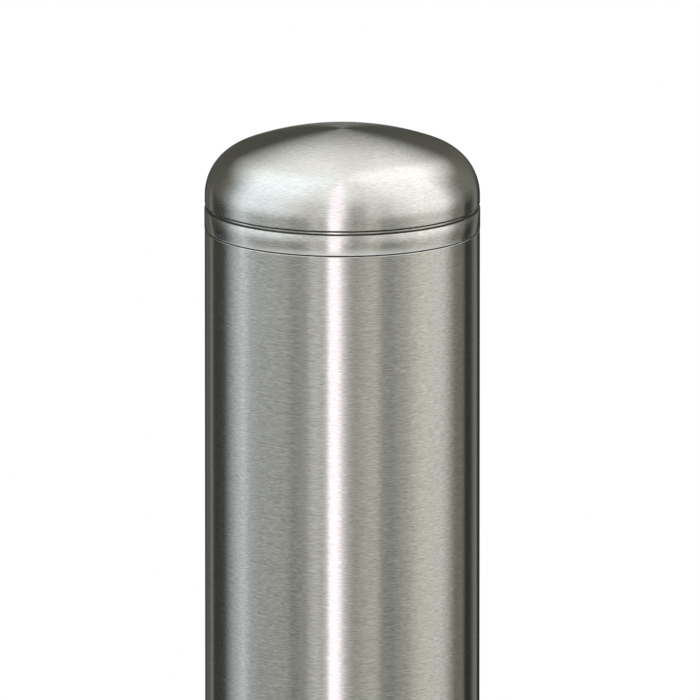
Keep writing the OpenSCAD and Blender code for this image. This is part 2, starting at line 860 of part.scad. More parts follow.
module dust_cover_pivot() {
    seat = ground_z + lid_gap + dust_t + lid_gap;
    color(steel) translate([pivot_off, spindle_y, 0]) difference() {
        union() {
            ring(pivot_r, 0, flange_z, seat + e);
            ring(pivot_head_r, 0, seat, seat + pivot_head_t);
        }
        translate([0, 0, seat + pivot_head_t]) socket(pivot_r * 0.6);
    }
}

dome_cap();
collar_ring();
post_tube();
head_plate();
cap_stud();
cap_stud_nut();
top_clevis();
top_clevis_screws();
top_clevis_pin();
top_pin_clip();
top_eye_fitting();
gas_cylinder();
rod_gland();
foot_ring();
lower_guide_ring();
guide_ring_screws();
base_plate();
casing_tube();
flange_gussets();
head_flange();
anchor_bars();
drain_spigot();
drain_strainer();
anti_rotation_rail();
bottom_buffers();
upper_guide_bush();
stop_ring();
stop_buffer();
wiper_seal();
surround_cover();
cover_screws();
base_clevis();
base_clevis_screws();
base_clevis_pin();
base_pin_clip();
rod_eye_fitting();
piston_rod();
piston();
piston_nut();
lock_body();
lock_base();
lock_base_screws();
lock_screws();
spindle_seal();
lock_spindle();
rack_bolt();
dust_cover();
dust_cover_pivot();
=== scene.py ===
"""Studio scene of a retractable bollard: brushed stainless post, galvanised ground casing, key lock.

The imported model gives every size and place. New pieces are made beside it in metres, in the same frame.
"""

import json
import math

import bmesh
import bpy
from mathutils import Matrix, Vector


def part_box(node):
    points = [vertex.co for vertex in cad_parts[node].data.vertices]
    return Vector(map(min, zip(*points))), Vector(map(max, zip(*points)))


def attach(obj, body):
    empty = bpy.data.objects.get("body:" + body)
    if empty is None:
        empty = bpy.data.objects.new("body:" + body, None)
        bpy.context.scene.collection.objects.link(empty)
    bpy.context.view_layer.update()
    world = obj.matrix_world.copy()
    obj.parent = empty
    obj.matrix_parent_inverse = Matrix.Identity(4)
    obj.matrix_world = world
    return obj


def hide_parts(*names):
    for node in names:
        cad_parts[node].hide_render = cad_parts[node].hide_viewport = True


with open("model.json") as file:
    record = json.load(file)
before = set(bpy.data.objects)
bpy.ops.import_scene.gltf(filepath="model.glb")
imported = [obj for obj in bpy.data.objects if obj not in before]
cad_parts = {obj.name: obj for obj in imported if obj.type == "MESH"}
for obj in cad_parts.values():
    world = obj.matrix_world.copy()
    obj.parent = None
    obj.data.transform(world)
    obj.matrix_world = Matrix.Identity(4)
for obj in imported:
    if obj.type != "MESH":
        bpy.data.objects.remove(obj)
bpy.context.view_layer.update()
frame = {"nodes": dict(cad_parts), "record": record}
NODES = frame["nodes"]


# ---------- places, all read from the frame ----------

def span(node):
    """Radius across X, lowest and highest z of a round node."""
    lo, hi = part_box(node)
    return (hi.x - lo.x) / 2, lo.z, hi.z


TUBE_R, TUBE_Z0, SEAM_Z = span("post_tube")
COLLAR_R, _, LIP_Z = span("collar_ring")
_, _, CROWN_Z = span("dome_cap")
CASING_R, _, _ = span("casing_tube")
FLANGE_Z0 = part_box("head_flange")[0].z
BASE_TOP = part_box("base_plate")[1].z
FLOOR_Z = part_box("base_plate")[0].z
BOLT_LO, BOLT_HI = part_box("rack_bolt")
SPIGOT_LO, SPIGOT_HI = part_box("drain_spigot")
GUSSET_LO, GUSSET_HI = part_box("flange_gussets")
BAR_LO, BAR_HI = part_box("anchor_bars")
TRAVEL = -next(j for j in frame["record"]["behaviour"]["joints"] if j["name"] == "post_lift")["range_m"][0]

# ---------- sizes of the turned pieces, in metres ----------

CROWN_R = 0.121          # radius of the cap's crown
CROWN_STEPS = 26
SHOULDER_R = 0.0215      # radius of its shoulder
SHOULDER_H = 0.0142      # shoulder's centre above the seam
SHOULDER_STEPS = 22
CAP_WALL = 0.005
CAP_SHELL = 0.0025       # thickness that the cap's shell is drawn with
LIP_IN = 0.0022          # how far the cap's lip turns in over the groove
TUBE_WALL = 0.004
TUBE_RINGS = 12
GROOVE_H = 0.0099        # middle of the groove above the seam
GROOVE_W = 0.0019
GROOVE_DEPTH = 0.001
SEAM_GAP = 0.0005        # shadow gap between the collar and the tube
SEAM_IN = 0.0026         # depth of that gap
EDGE = 0.0003            # broken edges
PAINTED_SHADE_W = 0.00055        # painted shade: width of the dark line along each side of the groove
SHADE = 0.0002           # part of the groove's floor that the lip above it hides; the painted shade covers it too
SPIGOT_L = 0.012         # the collar's spigot, in the tube's bore
SPIGOT_WALL = 0.005
SPIGOT_LEAD = 0.001      # chamfer that leads it in
FIT = 0.0002             # clearance between pieces of the post
SLOT_SIDE = 0.001        # room beside the lock bolt in its slot
SLOT_ENDS = 0.0015       # room above and below it, and the rounding of the slot's corners
SIDES = 192              # corners of a turned piece
TOUCH = 0.0001           # places nearer than this count as the same
MERGE = 0.000002         # points nearer than this are one point

# ---------- weld beads on the casing, in metres ----------

BEAD = 0.0032            # radius of a bead's section
BEAD_SIDES = 10
BEAD_END = 0.35          # rounding of a bead's end, as a share of its radius
BEAD_STOP = 0.004        # how far a bead stops short of a gusset's edge
RIPPLE = 0.0018          # half the distance from one ripple to the next
RIPPLE_DEPTH = 0.00035
WAVER = 0.3              # uneven width, as a share of the radius
WAVER_SIZE = 0.006
SPIGOT_OUT = 0.002       # the drain spigot's bead stands off the tube's side
GUSSET_T = 0.006         # thickness of a gusset
BAR_R = 0.006            # radius of an anchor bar
BAR_RISE = 0.080         # a bent bar above its root


# ---------- node helpers ----------

class Nodes:
    """Short ways to add and join nodes in one empty tree."""

    def __init__(self, owner):
        owner.use_nodes = True
        self.tree = owner.node_tree
        self.tree.nodes.clear()

    def node(self, kind, **settings):
        n = self.tree.nodes.new(kind)
        for key, value in settings.items():
            setattr(n, key, value)
        return n

    def join(self, source, target):
        self.tree.links.new(source, target)

    def math(self, op, a, b=None):
        n = self.node("ShaderNodeMath", operation=op)
        for i, v in enumerate((a, b)):
            if isinstance(v, (int, float)):
                n.inputs[i].default_value = v
            elif v is not None:
                self.join(v, n.inputs[i])
        return n.outputs[0]

    def mix(self, fac, a, b):
        n = self.node("ShaderNodeMix", data_type="RGBA")
        self.join(fac, n.inputs["Factor"])
        for socket, v in ((n.inputs[6], a), (n.inputs[7], b)):
            if isinstance(v, tuple):
                socket.default_value = (*v, 1)
            else:
                self.join(v, socket)
        return n.outputs[2]

    def ramp(self, value, stops):
        """Colour ramp with its stops as (place, colour)."""
        n = self.node("ShaderNodeValToRGB")
        elements = n.color_ramp.elements
        while len(elements) < len(stops):
            elements.new(1.0)
        for e, (place, colour) in zip(elements, stops):
            e.position = place
            e.color = (*colour, 1)
        self.join(value, n.inputs[0])
        return n.outputs[0]


class Shader(Nodes):
    """One material with a Principled shader, and its usual textures."""

    def __init__(self, name):
        self.mat = bpy.data.materials.new(name)
        super().__init__(self.mat)
        self.bsdf = self.node("ShaderNodeBsdfPrincipled")
        self.join(self.bsdf.outputs[0], self.node("ShaderNodeOutputMaterial").inputs["Surface"])

    def set(self, **values):
        """Constants go straight on the shader's own sockets."""
        for key, value in values.items():
            self.bsdf.inputs[key.replace("_", " ")].default_value = value

    def coords(self):
        return self.node("ShaderNodeTexCoord").outputs["Object"]

    def height(self):
        split = self.node("ShaderNodeSeparateXYZ")
        self.join(self.coords(), split.inputs[0])
        return split.outputs["Z"]

    def mapped(self, scale, source=None):
        n = self.node("ShaderNodeMapping")
        n.inputs["Scale"].default_value = scale
        self.join(source or self.coords(), n.inputs["Vector"])
        return n.outputs[0]

    def noise(self, vector, scale, detail=3, rough=0.55):
        n = self.node("ShaderNodeTexNoise")
        n.inputs["Scale"].default_value = scale
        n.inputs["Detail"].default_value = detail
        n.inputs["Roughness"].default_value = rough
        self.join(vector, n.inputs["Vector"])
        return n.outputs["Fac"]

    def remap(self, value, lo, hi, to_lo=0.0, to_hi=1.0):
        n = self.node("ShaderNodeMapRange")
        n.inputs["From Min"].default_value = lo
        n.inputs["From Max"].default_value = hi
        n.inputs["To Min"].default_value = to_lo
        n.inputs["To Max"].default_value = to_hi
        self.join(value, n.inputs["Value"])
        return n.outputs["Result"]

    def bump(self, height, strength, distance, under=None):
        n = self.node("ShaderNodeBump")
        n.inputs["Strength"].default_value = strength
        n.inputs["Distance"].default_value = distance
        self.join(height, n.inputs["Height"])
        if under is not None:
            self.join(under, n.inputs["Normal"])
        return n.outputs["Normal"]

    def finish(self, colour=None, rough=None, normal=None):
        for name, v in (("Base Color", colour), ("Roughness", rough), ("Normal", normal)):
            if v is not None:
                self.join(v, self.bsdf.inputs[name])
        return self.mat


def ring_coords(s):
    """Coordinates that follow the post's skin: X and Y as they are, and the length along the profile."""
    split = s.node("ShaderNodeSeparateXYZ")
    s.join(s.coords(), split.inputs[0])
    x, y, z = split.outputs
    radius = s.math("SQRT", s.math("ADD", s.math("MULTIPLY", x, x), s.math("MULTIPLY", y, y)))
    along = s.math("SUBTRACT", radius, z)
    joined = s.node("ShaderNodeCombineXYZ")
    for source, target in ((x, 0), (y, 1), (along, 2)):
        s.join(source, joined.inputs[target])
    return joined.outputs[0]


# ---------- finishes ----------

POLISH_FADE = 0.22       # length of tube over which the polish grows downwards


def brushed_post():
    """Stainless steel, ground round the post: short fine scratches that catch and lose the light."""
    s = Shader("brushed_post")
    s.set(Metallic=1.0, Anisotropic=0.98, Anisotropic_Rotation=0.25)
    tangent = s.node("ShaderNodeTangent", direction_type="RADIAL", axis="Z")
    s.join(tangent.outputs[0], s.bsdf.inputs["Tangent"])
    rings = ring_coords(s)
    fine = s.noise(s.mapped((420, 420, 5200), rings), 1, 2, 0.5)
    long = s.noise(s.mapped((110, 110, 3600), rings), 1, 2)
    cloud = s.noise(s.coords(), 14, 3)
    lines = s.math("ADD", s.math("MULTIPLY", fine, 0.75), s.math("MULTIPLY", long, 0.25))
    hairs = s.remap(long, 0.62, 0.74, 0, 0.35)
    colour = s.mix(s.math("ADD", s.remap(lines, 0.34, 0.66), hairs), (0.50, 0.49, 0.455), (0.74, 0.73, 0.69))
    polish = s.remap(s.height(), SEAM_Z - POLISH_FADE, SEAM_Z, -0.035, 0)
    worn = s.remap(s.math("ADD", lines, s.math("MULTIPLY", cloud, 0.3)), 0.4, 0.9, 0.17, 0.21)
    normal = s.bump(lines, 0.1, 0.00004)
    return s.finish(colour, s.math("ADD", worn, polish), normal)


def groove_painted_shade():
    """Painted shade: near-black colour that stands in for the shadow in the corners of the groove, in the
    seam and under the cap's lip.
    """
    s = Shader("groove_painted_shade")
    s.set(Metallic=0.3)
    cloud = s.noise(s.coords(), 260, 4, 0.65)
    colour = s.mix(s.remap(cloud, 0.35, 0.7), (0.008, 0.007, 0.005), (0.045, 0.042, 0.032))
    return s.finish(colour, s.remap(cloud, 0.3, 0.7, 0.45, 0.7), s.bump(cloud, 0.2, 0.0001))


def brushed_plate():
    """Stainless plate, brushed straight along X."""
    s = Shader("brushed_plate")
    s.set(Metallic=1.0)
    lines = s.noise(s.mapped((18, 900, 900)), 1, 3)
    cloud = s.noise(s.coords(), 9, 4)
    colour = s.mix(s.remap(lines, 0.3, 0.7), (0.46, 0.455, 0.44), (0.64, 0.635, 0.62))
    rough = s.remap(s.math("ADD", lines, cloud), 0.7, 1.3, 0.30, 0.42)
    return s.finish(colour, rough, s.bump(lines, 0.3, 0.00005))


def ground_steel():
    """Bright ground steel of the lock bolt."""
    s = Shader("ground_steel")
    s.set(Metallic=1.0)
    lines = s.noise(s.mapped((900, 30, 900)), 1, 2)
    colour = s.mix(s.remap(lines, 0.3, 0.7), (0.42, 0.42, 0.42), (0.6, 0.6, 0.6))
    return s.finish(colour, s.remap(lines, 0.3, 0.7, 0.25, 0.4), s.bump(lines, 0.2, 0.00005))


def galvanised():
    """Hot-dip galvanised steel: crystals of different greys, dulled, with darker runs."""
    s = Shader("galvanised")
    s.set(Metallic=0.85)
    bent = s.node("ShaderNodeVectorMath", operation="ADD")
    wander = s.node("ShaderNodeTexNoise")
    wander.inputs["Scale"].default_value = 60
    shrink = s.node("ShaderNodeVectorMath", operation="SCALE")
    shrink.inputs["Scale"].default_value = 0.012
    where = s.coords()
    s.join(where, wander.inputs["Vector"])
    s.join(wander.outputs["Color"], shrink.inputs[0])
    s.join(where, bent.inputs[0])
    s.join(shrink.outputs[0], bent.inputs[1])
    flakes = s.node("ShaderNodeTexVoronoi")
    flakes.inputs["Scale"].default_value = 95
    s.join(bent.outputs[0], flakes.inputs["Vector"])
    tone = s.node("ShaderNodeSeparateColor")
    s.join(flakes.outputs["Color"], tone.inputs[0])
    cloud = s.noise(s.mapped((7, 7, 3)), 1, 5, 0.6)
    grain = s.noise(where, 700, 2)
    spangle = s.mix(tone.outputs[0], (0.36, 0.375, 0.39), (0.56, 0.58, 0.60))
    colour = s.mix(s.remap(cloud, 0.35, 0.7), spangle, (0.40, 0.415, 0.42))
    rough = s.remap(tone.outputs[1], 0, 1, 0.38, 0.56)
    normal = s.bump(s.math("ADD", tone.outputs[2], s.math("MULTIPLY", grain, 0.5)), 0.12, 0.0002)
    return s.finish(colour, rough, normal)


def zinc_plated():
    """Zinc plated and passivated steel, faintly yellow, with turning marks."""
    s = Shader("zinc_plated")
    s.set(Metallic=1.0)
    cloud = s.noise(s.coords(), 90, 3)
    marks = s.noise(s.mapped((200, 200, 2500)), 1, 2)
    colour = s.mix(s.remap(cloud, 0.35, 0.65), (0.58, 0.55, 0.46), (0.66, 0.645, 0.60))
    return s.finish(colour, s.remap(cloud, 0.3, 0.7, 0.26, 0.4), s.bump(marks, 0.2, 0.00005))


def black_enamel():
    """Semi-gloss black enamel with a little orange peel."""
    s = Shader("black_enamel")
    s.set(Coat_Weight=0.4, Coat_Roughness=0.12)
    peel = s.noise(s.coords(), 320, 2)
    dust = s.noise(s.coords(), 25, 4)
    colour = s.mix(s.remap(dust, 0.4, 0.75), (0.014, 0.014, 0.016), (0.045, 0.045, 0.048))
    return s.finish(colour, s.remap(dust, 0.3, 0.7, 0.25, 0.4), s.bump(peel, 0.15, 0.0002))


def hard_chrome():
    """Ground and chromed rod: nearly a mirror, with faint rings."""
    s = Shader("hard_chrome")
    s.set(Metallic=1.0)
    rings = s.noise(s.mapped((60, 60, 3000)), 1, 2)
    colour = s.mix(s.remap(rings, 0.3, 0.7), (0.72, 0.74, 0.76), (0.82, 0.83, 0.85))
    return s.finish(colour, s.remap(rings, 0.3, 0.7, 0.05, 0.11), s.bump(rings, 0.05, 0.00002))


def black_rubber():
    """Moulded rubber with a fine bloom."""
    s = Shader("black_rubber")
    bloom = s.noise(s.coords(), 45, 5, 0.65)
    grain = s.noise(s.coords(), 1200, 2)
    colour = s.mix(s.remap(bloom, 0.4, 0.75), (0.016, 0.016, 0.017), (0.05, 0.05, 0.052))
    return s.finish(colour, s.remap(bloom, 0.3, 0.7, 0.55, 0.75), s.bump(grain, 0.25, 0.0001))


def guide_polymer():
    """Machined dark polyethylene with tool rings."""
    s = Shader("guide_polymer")
    rings = s.noise(s.mapped((40, 40, 1400)), 1, 2)
    cloud = s.noise(s.coords(), 30, 3)
    colour = s.mix(s.remap(cloud, 0.35, 0.7), (0.035, 0.037, 0.04), (0.07, 0.073, 0.078))
    return s.finish(colour, s.remap(rings, 0.3, 0.7, 0.4, 0.55), s.bump(rings, 0.3, 0.00008))


def weld_metal():
    """Zinc-coated weld bead, duller than the plate beside it."""
    s = Shader("weld_metal")
    s.set(Metallic=0.8)
    cloud = s.noise(s.coords(), 160, 4)
    colour = s.mix(s.remap(cloud, 0.3, 0.7), (0.30, 0.31, 0.32), (0.46, 0.475, 0.49))
    return s.finish(colour, s.remap(cloud, 0.3, 0.7, 0.42, 0.62), s.bump(cloud, 0.3, 0.0003))


FINISHES = {
    "brushed_stainless": brushed_post(),
    "plate_stainless": brushed_plate(),
    "bolt_steel": ground_steel(),
    "galvanised_steel": galvanised(),
    "plated_steel": zinc_plated(),
    "black_enamel": black_enamel(),
    "hard_chrome": hard_chrome(),
    "black_rubber": black_rubber(),
    "guide_polymer": guide_polymer(),
}
# near-black painted shade for the groove, the seam and the underside of the cap's lip
PAINTED_SHADE = groove_painted_shade()
WELD = weld_metal()


def dress(obj, finish):
    obj.data.materials.clear()
    obj.data.materials.append(finish)


for row in frame["record"]["subparts"]:
    dress(NODES[row["node"]], FINISHES[row["material_slot"]])


# ---------- ways of modelling ----------

def nothing_selected():
    if bpy.context.object and bpy.context.object.mode == "EDIT":
        bpy.ops.object.mode_set(mode="OBJECT")
    bpy.ops.object.select_all(action="DESELECT")


def pick(obj, wanted, kind="VERT"):
    """In edit mode, select only the vertices, edges or faces that a test accepts."""
    bpy.ops.mesh.select_mode(type=kind)
    bpy.ops.mesh.select_all(action="DESELECT")
    bm = bmesh.from_edit_mesh(obj.data)
    for item in {"VERT": bm.verts, "EDGE": bm.edges, "FACE": bm.faces}[kind]:
        if wanted(item):
            item.select_set(True)
    bm.select_flush_mode()
    bmesh.update_edit_mesh(obj.data)


def settle(obj, name, finish, slot, body, *replaced, angle=30):
    """Put a modelled piece at the origin, smooth it, dress it, and hang it on its body."""
    if obj.mode == "EDIT":
        bpy.ops.object.mode_set(mode="OBJECT")
    nothing_selected()
    obj.select_set(True)
    bpy.context.view_layer.objects.active = obj
    bpy.ops.object.transform_apply(location=True, rotation=True, scale=True)
    bpy.ops.object.mode_set(mode="EDIT")
    bpy.ops.mesh.select_all(action="SELECT")
    bpy.ops.mesh.remove_doubles(threshold=MERGE)
    bpy.ops.mesh.normals_make_consistent(inside=False)
    bpy.ops.object.mode_set(mode="OBJECT")
    bpy.ops.object.shade_smooth_by_angle(angle=math.radians(angle))
    obj.name = name
    obj.data.name = name
    dress(obj, finish)
    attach(obj, body)
    if replaced:
        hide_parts(*replaced)
    return obj


def turned(profile, closed=True):
    """Turn a piece on the Z axis: a ring drawn out from point to point of its profile, (radius, z) each."""
    nothing_selected()
    radius, z = profile[0]
    bpy.ops.mesh.primitive_circle_add(vertices=SIDES, radius=radius, location=(0, 0, z))
    obj = bpy.context.object
    bpy.ops.object.mode_set(mode="EDIT")
    bpy.ops.mesh.select_all(action="SELECT")
    for r, h in profile[1:] + (profile[:1] if closed else []):
        bpy.ops.mesh.extrude_region_move(TRANSFORM_OT_translate={"value": (0, 0, h - z)})
        if r == 0:
            bpy.ops.mesh.merge(type="CENTER")
        else:
            bpy.ops.transform.resize(value=(r / radius, r / radius, 1), center_override=(0, 0, h))
            radius = r
        z = h
    bpy.ops.mesh.select_all(action="SELECT")
    bpy.ops.mesh.remove_doubles(threshold=MERGE)
    bpy.ops.mesh.normals_make_consistent(inside=False)
    bpy.ops.object.mode_set(mode="OBJECT")
    return obj


def apply_modifier(obj, kind, **settings):
    nothing_selected()
    obj.select_set(True)
    bpy.context.view_layer.objects.active = obj
    mod = obj.modifiers.new(kind.lower(), kind)
    for key, value in settings.items():
        setattr(mod, key, value)
    bpy.ops.object.modifier_apply(modifier=mod.name)


def cut_box(obj, lo, hi, round_by):
    """Cut a box, its edges along Y rounded, out of a piece."""
    nothing_selected()
    centre = [(p + q) / 2 for p, q in zip(lo, hi)]
    bpy.ops.mesh.primitive_cube_add(size=1, location=centre, scale=[q - p for p, q in zip(lo, hi)])
    cutter = bpy.context.object
    bpy.ops.object.transform_apply(location=False, rotation=False, scale=True)
    bpy.ops.object.mode_set(mode="EDIT")
    pick(cutter, lambda edge: abs((edge.verts[0].co - edge.verts[1].co).normalized().y) > 0.9, "EDGE")
    bpy.ops.mesh.bevel(offset=round_by, segments=4)
    bpy.ops.object.mode_set(mode="OBJECT")
    apply_modifier(obj, "BOOLEAN", object=cutter, operation="DIFFERENCE", solver="EXACT")
    nothing_selected()
    bpy.data.objects.remove(cutter)


def arc(centre_r, centre_z, radius, start, end, steps):
    """Points on an arc of a profile; angles in degrees from the outward direction up."""
    out = []
    for i in range(steps + 1):
        a = math.radians(start + (end - start) * i / steps)
        out.append((centre_r + radius * math.cos(a), centre_z + radius * math.sin(a)))
    return out


# ---------- the post ----------

def make_cap():
    """The domed cap: a lip over the groove, a rolled shoulder and a shallow crown."""
    shoulder_x = TUBE_R - SHOULDER_R
    lean = math.degrees(math.asin(shoulder_x / (CROWN_R - SHOULDER_R)))
    crown_c = CROWN_Z - CROWN_R
    lip_z = SEAM_Z + GROOVE_H + GROOVE_W / 2
    outer = [(TUBE_R - LIP_IN, lip_z), (TUBE_R - EDGE, lip_z), (TUBE_R, lip_z + EDGE)]
    outer += arc(shoulder_x, SEAM_Z + SHOULDER_H, SHOULDER_R, 0, 90 - lean, SHOULDER_STEPS)
    outer += arc(0, crown_c, CROWN_R, 90 - lean, 90, CROWN_STEPS)[1:-1] + [(0, CROWN_Z)]
    cap = turned(outer, closed=False)
    apply_modifier(cap, "SOLIDIFY", thickness=CAP_SHELL, offset=-1)
    settle(cap, "post_cap", FINISHES["brushed_stainless"], "brushed_stainless", "post", "dome_cap")


def make_collar():
    """The collar between cap and tube, with the floor of the groove and the spigot that locates it."""
    groove_lo = SEAM_Z + GROOVE_H - GROOVE_W / 2
    groove_hi = SEAM_Z + GROOVE_H + GROOVE_W / 2
    spigot = TUBE_R - TUBE_WALL - FIT
    bore = spigot - SPIGOT_WALL
    spigot_end = SEAM_Z - SPIGOT_L
    low = SEAM_Z + SEAM_GAP
    gap_floor = TUBE_R - SEAM_IN
    groove_floor = TUBE_R - GROOVE_DEPTH
    in_cap = TUBE_R - CAP_WALL - FIT
    corner = EDGE * 0.3
    collar = turned([
        (bore, spigot_end), (spigot - SPIGOT_LEAD, spigot_end), (spigot, spigot_end + SPIGOT_LEAD),
        (spigot, SEAM_Z), (gap_floor, SEAM_Z), (gap_floor, low), (COLLAR_R - EDGE, low),
        (COLLAR_R - corner, low + corner), (COLLAR_R, low + EDGE), (COLLAR_R, groove_lo - EDGE),
        (COLLAR_R - corner, groove_lo - corner), (COLLAR_R - EDGE, groove_lo),
        # strips of the groove's floor next to its edges, which get the painted shade
        (groove_floor, groove_lo), (groove_floor, groove_lo + PAINTED_SHADE_W),
        (groove_floor, groove_hi - PAINTED_SHADE_W - SHADE), (groove_floor, groove_hi),
        (in_cap, groove_hi), (in_cap, LIP_Z), (bore, LIP_Z),
    ])
    settle(collar, "post_collar", FINISHES["brushed_stainless"], "brushed_stainless", "post", "collar_ring")


def make_tube():
    """The drawn tube with broken ends and the two slots at its back that the lock bolt enters."""
    bore = TUBE_R - TUBE_WALL
    skin = SEAM_Z - TUBE_Z0 - 2 * EDGE
    rings = [(TUBE_R, TUBE_Z0 + EDGE + skin * i / TUBE_RINGS) for i in range(TUBE_RINGS + 1)]
    foot, head = [(bore, TUBE_Z0), (TUBE_R - EDGE, TUBE_Z0)], [(TUBE_R - EDGE, SEAM_Z), (bore, SEAM_Z)]
    tube = turned(foot + rings + head)
    half_w = BOLT_HI.x + SLOT_SIDE
    half_h = (BOLT_HI.z - BOLT_LO.z) / 2 + SLOT_ENDS
    middle = (BOLT_LO.z + BOLT_HI.z) / 2
    for z in (middle, middle + TRAVEL):
        lo, hi = (-half_w, TUBE_R / 2, z - half_h), (half_w, TUBE_R + TUBE_WALL, z + half_h)
        cut_box(tube, lo, hi, SLOT_ENDS)
    settle(tube, "post_sleeve", FINISHES["brushed_stainless"], "brushed_stainless", "post", "post_tube")


def paint_shade(obj, wanted):
    """Give the faces that a test accepts the painted shade as a second finish."""
    obj.data.materials.append(PAINTED_SHADE)
    nothing_selected()
    bpy.context.view_layer.objects.active = obj
    bpy.ops.object.mode_set(mode="EDIT")
    pick(obj, wanted, "FACE")
    obj.active_material_index = 1
    bpy.ops.object.material_slot_assign()
    bpy.ops.object.mode_set(mode="OBJECT")


def in_groove(face):
    """The two edges of the groove's floor, and the seam's walls, which get the painted shade."""
    middle = face.calc_center_median()
    r, z = math.hypot(middle.x, middle.y), middle.z - SEAM_Z
    side = abs(z - GROOVE_H) - GROOVE_W / 2
    corner = abs(r - TUBE_R + GROOVE_DEPTH) < TOUCH and -PAINTED_SHADE_W - SHADE < side < TOUCH
    in_seam = TUBE_R - SEAM_IN - 2 * TOUCH < r < COLLAR_R - 2 * EDGE and -TOUCH < z < SEAM_GAP + TOUCH
    return corner or in_seam


def on_tube_end(face):
    """The tube's upper end, which is the seam's lower wall and gets the painted shade."""
    return face.normal.z > 0.9 and face.calc_center_median().z > SEAM_Z - TOUCH


make_cap()
make_collar()
make_tube()
# painted shade: a near-black second finish on the groove's corners, the seam's walls and the cap's downward
# faces
paint_shade(bpy.data.objects["post_collar"], in_groove)
paint_shade(bpy.data.objects["post_sleeve"], on_tube_end)
paint_shade(bpy.data.objects["post_cap"], lambda face: face.normal.z < -0.9)


# ---------- weld beads ----------

def roughen(bead):
    """Uneven width along the bead."""
    cloud = bpy.data.textures.new("bead_width", "CLOUDS")
    cloud.noise_scale = WAVER_SIZE
    apply_modifier(
        bead, "DISPLACE", texture=cloud, strength=BEAD * WAVER, mid_level=0.5, texture_coords="LOCAL"
    )


def place(bead, where, turn):
    """Turn a bead, move it to its joint and apply both."""
    bead.rotation_euler = turn
    bead.location = where
    bpy.ops.object.transform_apply(location=True, rotation=True, scale=True)
    return bead


def ring_bead(radius, centre, axis="Z"):
    """A bead round a tube along an axis, with every other section swollen to a ripple."""
    nothing_selected()
    steps = 2 * round(math.pi * radius / RIPPLE)
    bpy.ops.mesh.primitive_torus_add(
        major_segments=steps, minor_segments=BEAD_SIDES, major_radius=radius, minor_radius=BEAD
    )
    bead = bpy.context.object
    bpy.ops.object.mode_set(mode="EDIT")
    pick(bead, lambda v: round(math.atan2(v.co.y, v.co.x) / math.tau * steps) % 2 == 0)
    swell = 1 + RIPPLE_DEPTH / radius
    bpy.ops.transform.resize(value=(swell, swell, 1), center_override=(0, 0, 0))
    bpy.ops.transform.resize(value=(1, 1, 1 + RIPPLE_DEPTH / BEAD), center_override=(0, 0, 0))
    bpy.ops.object.mode_set(mode="OBJECT")
    return place(bead, centre, (0, math.radians(90), 0) if axis == "X" else (0, 0, 0))


def straight_bead(start, end):
    """A bead along a straight joint, with rounded ends and ripples across it."""
    nothing_selected()
    length = (end - start).length
    steps = 2 * round(length / RIPPLE / 2)
    bpy.ops.mesh.primitive_cylinder_add(
        vertices=BEAD_SIDES, radius=BEAD, depth=RIPPLE, location=(0, 0, RIPPLE / 2)
    )
    bead = bpy.context.object
    bpy.ops.object.transform_apply(location=True)
    bpy.ops.object.mode_set(mode="EDIT")
    pick(bead, lambda f: f.normal.z > 0.9, "FACE")
    step = length / steps
    proud = 1 + RIPPLE_DEPTH / BEAD
    for i in range(steps - 1):
        swell = proud if i % 2 else 1 / proud
        bpy.ops.mesh.extrude_region_move(TRANSFORM_OT_translate={"value": (0, 0, step)})
        bpy.ops.transform.resize(value=(swell, swell, 1), center_override=(0, 0, (i + 2) * step))
    pick(bead, lambda f: abs(f.normal.z) > 0.9, "FACE")
    bpy.ops.mesh.inset(thickness=BEAD * BEAD_END, depth=BEAD * BEAD_END)
    bpy.ops.object.mode_set(mode="OBJECT")
    return place(bead, start, (end - start).to_track_quat("Z", "Y").to_euler())


def make_welds():
    """Fillet welds of the casing: tube to both plates, gussets, anchor bars and drain spigot."""
    beads = [ring_bead(CASING_R, (0, 0, BASE_TOP)), ring_bead(CASING_R, (0, 0, FLANGE_Z0))]
    spigot_r = (SPIGOT_HI.z - SPIGOT_LO.z) / 2
    spigot_z = (SPIGOT_HI.z + SPIGOT_LO.z) / 2
    beads.append(ring_bead(spigot_r + BEAD / 2, (CASING_R + SPIGOT_OUT, 0, spigot_z), "X"))
    up = Vector((0, 0, 1))
    reach = GUSSET_HI.x * math.sqrt(2) - GUSSET_T / 2
    for quarter in range(4):
        angle = math.radians(45 + 90 * quarter)
        out = Vector((math.cos(angle), math.sin(angle), 0))
        for edge in (up.cross(out) * -GUSSET_T / 2, up.cross(out) * GUSSET_T / 2):
            foot = out * CASING_R + edge
            low, high = GUSSET_LO.z + BEAD_STOP, FLANGE_Z0 - BEAD
            beads.append(straight_bead(foot + up * low, foot + up * high))
            top = up * FLANGE_Z0 + edge
            beads.append(straight_bead(out * (CASING_R + BEAD) + top, out * (reach - BEAD_STOP) + top))
        for row in (BAR_LO.z + BAR_R, BAR_HI.z - BAR_RISE):
            bead = ring_bead(BAR_R, (0, 0, 0), "X")
            beads.append(place(bead, out * CASING_R + up * row, (0, 0, angle)))
    nothing_selected()
    for bead in beads:
        bead.select_set(True)
    welds = beads[0]
    bpy.context.view_layer.objects.active = welds
    bpy.ops.object.join()
    roughen(welds)
    settle(welds, "casing_welds", WELD, "galvanised_steel", "casing", angle=60)


make_welds()


# ---------- studio ----------

# Light tints, red green blue.
PLAIN = (1.00, 1.00, 1.00)
OLIVE = (1.00, 1.01, 0.86)
COOL = (0.96, 1.04, 1.10)
ROSE = (1.04, 0.97, 1.06)

